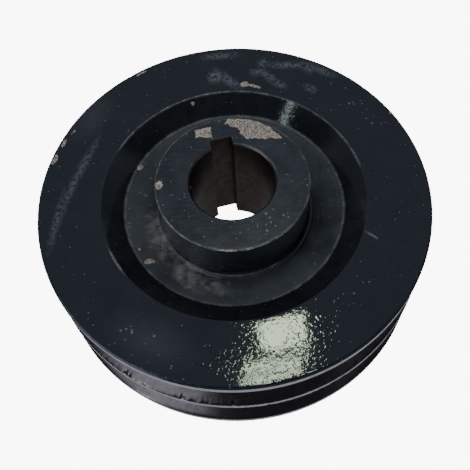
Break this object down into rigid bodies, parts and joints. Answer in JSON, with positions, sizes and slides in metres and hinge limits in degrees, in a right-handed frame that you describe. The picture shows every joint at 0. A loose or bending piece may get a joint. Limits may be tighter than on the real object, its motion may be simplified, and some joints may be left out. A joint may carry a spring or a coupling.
{
  "type": "v belt pulley",
  "caption": "Double-groove V belt pulley with a dished web, a keyed hub standing proud on one side and a grub screw that bears on the shaft.",
  "frame": {"origin": "centre of the rim's lower face, on the bore's axis", "axes": "+Z along the bore towards the end of the hub that stands proud of the rim; the keyway lies 10 degrees from +Y towards -X, and the grub screw 10 degrees from -X towards -Y"},
  "size_m": [0.1404, 0.1404, 0.052],
  "materials": {
    "painted_hub": "worn semi-gloss black enamel on cast iron, with the bore and keyway bare machined iron",
    "painted_web": "dusty satin black enamel on cast iron",
    "painted_rim": "glossy black enamel on cast iron, with the groove floors bare",
    "painted_flange": "glossy black enamel with orange peel, groove wall and land machined",
    "machined_groove": "turned, oiled iron with a bright land",
    "screw_steel": "black-oxide alloy steel"
  },
  "bodies": {
    "wheel": {"hub": "painted_hub", "web": "painted_web", "rim_band": "painted_rim", "upper_flange": "painted_flange", "middle_flange": "machined_groove", "lower_flange": "painted_flange"},
    "screw": {"grub_screw": "screw_steel"}
  },
  "joints": [
    {"name": "screw_travel", "type": "slide", "parent": "wheel", "child": "screw", "axis": [-0.9848, -0.1736, 0], "range_m": [-0.0005, 0.008]}
  ]
}
